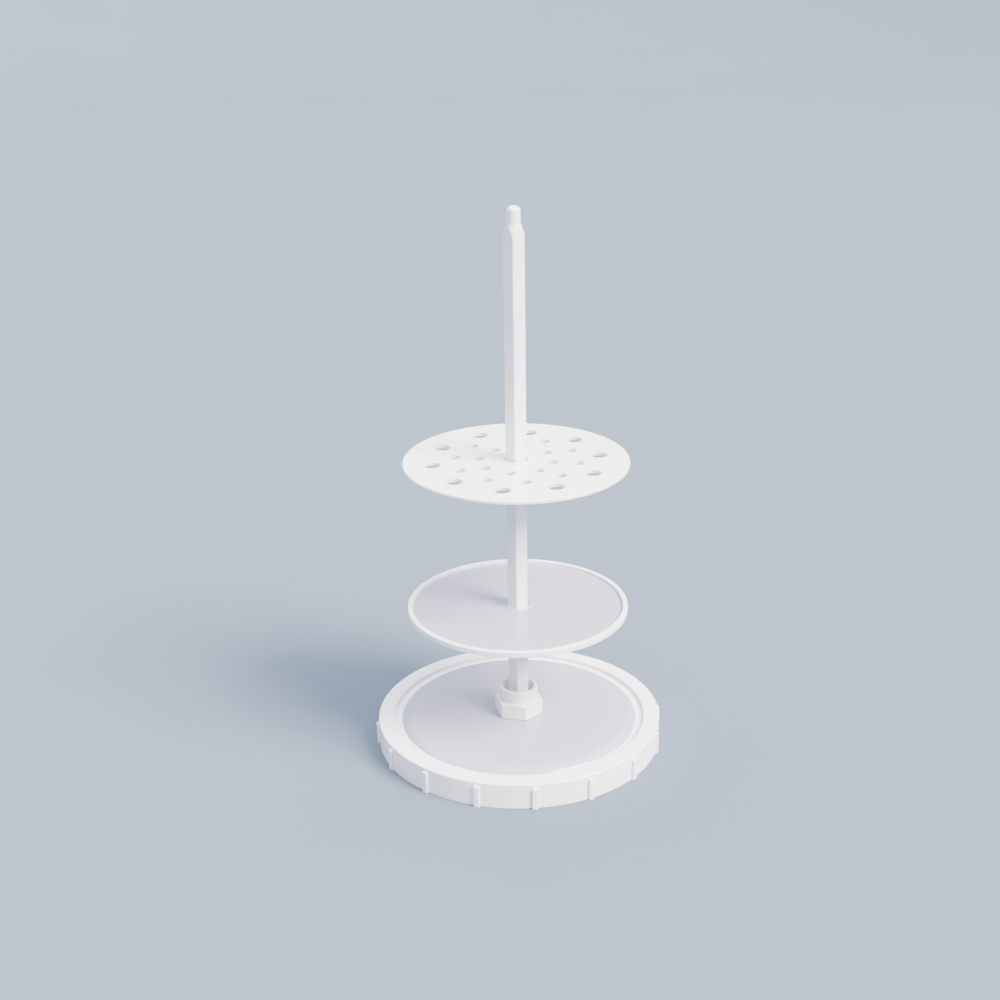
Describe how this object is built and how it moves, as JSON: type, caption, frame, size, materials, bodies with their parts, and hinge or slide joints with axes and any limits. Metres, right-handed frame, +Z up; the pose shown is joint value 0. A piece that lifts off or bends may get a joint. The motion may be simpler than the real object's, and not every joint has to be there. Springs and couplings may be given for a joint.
{
  "type": "vertical pipette stand",
  "caption": "Round vertical stand for laboratory pipettes: ribbed base, square column, plain lipped disc below and perforated disc above, each clamped by a ring nut.",
  "frame": {"origin": "centre of the base's underside, on the column's axis, at the level of the surface that the stand is on", "axes": "+Z up the column; -Y is the front, and one edge of the square column points that way; +X is to the right seen from the front"},
  "size_m": [0.2304, 0.2304, 0.438],
  "materials": {
    "moulded_white": "injection-moulded white polypropylene, semi-gloss, faint moulding waves",
    "extruded_white": "extruded white polypropylene, semi-gloss, faint lengthwise die lines",
    "slip_plastic": "natural acetal, satin, slightly translucent",
    "sealing_rubber": "moulded rubber, matt",
    "stainless": "stainless steel, bright turned"
  },
  "bodies": {
    "base": {"base_body": "moulded_white", "base_platform": "moulded_white", "platform_screws": "stainless", "column_socket": "moulded_white", "socket_lock_washer": "sealing_rubber", "socket_lock_nut": "moulded_white"},
    "column": {"column": "extruded_white", "column_foot": "moulded_white", "column_tip_plug": "extruded_white"},
    "union_washer": {"union_slip_washer": "slip_plastic"},
    "union_nut": {"union_nut": "moulded_white"},
    "upper_disc": {"upper_disc": "moulded_white", "upper_grip": "slip_plastic"},
    "upper_slip_ring": {"upper_slip_ring": "slip_plastic"},
    "upper_grip_nut": {"upper_grip_nut": "moulded_white"},
    "middle_disc": {"middle_disc": "moulded_white", "middle_grip": "slip_plastic"},
    "middle_slip_ring": {"middle_slip_ring": "slip_plastic"},
    "middle_grip_nut": {"middle_grip_nut": "moulded_white"}
  },
  "joints": [
    {"name": "column_lift", "type": "slide", "parent": "base", "child": "column", "axis": [0, 0, 1], "range_m": [0, 0.06]},
    {"name": "union_nut_rise", "type": "slide", "parent": "column", "child": "union_washer", "axis": [0, 0, 1], "range_m": [0, 0.0075]},
    {"name": "union_nut_turn", "type": "hinge", "parent": "union_washer", "child": "union_nut", "pos_m": [0, 0, 0.033], "axis": [0, 0, 1], "range_deg": [0, 900]},
    {"name": "upper_disc_slide", "type": "slide", "parent": "column", "child": "upper_disc", "axis": [0, 0, 1], "range_m": [-0.04, 0.15]},
    {"name": "upper_nut_drop", "type": "slide", "parent": "upper_disc", "child": "upper_slip_ring", "axis": [0, 0, -1], "range_m": [0, 0.004]},
    {"name": "upper_nut_turn", "type": "hinge", "parent": "upper_slip_ring", "child": "upper_grip_nut", "pos_m": [0, 0, 0.228], "axis": [0, 0, -1], "range_deg": [0, 720]},
    {"name": "middle_disc_slide", "type": "slide", "parent": "column", "child": "middle_disc", "axis": [0, 0, 1], "range_m": [-0.03, 0.045]},
    {"name": "middle_nut_drop", "type": "slide", "parent": "middle_disc", "child": "middle_slip_ring", "axis": [0, 0, -1], "range_m": [0, 0.004]},
    {"name": "middle_nut_turn", "type": "hinge", "parent": "middle_slip_ring", "child": "middle_grip_nut", "pos_m": [0, 0, 0.105], "axis": [0, 0, -1], "range_deg": [0, 720]}
  ],
  "couplings": [
    {"joint": "union_nut_turn", "follows": "union_nut_rise", "rad_per_m": 2094},
    {"joint": "upper_nut_turn", "follows": "upper_nut_drop", "rad_per_m": 3141},
    {"joint": "middle_nut_turn", "follows": "middle_nut_drop", "rad_per_m": 3141}
  ]
}
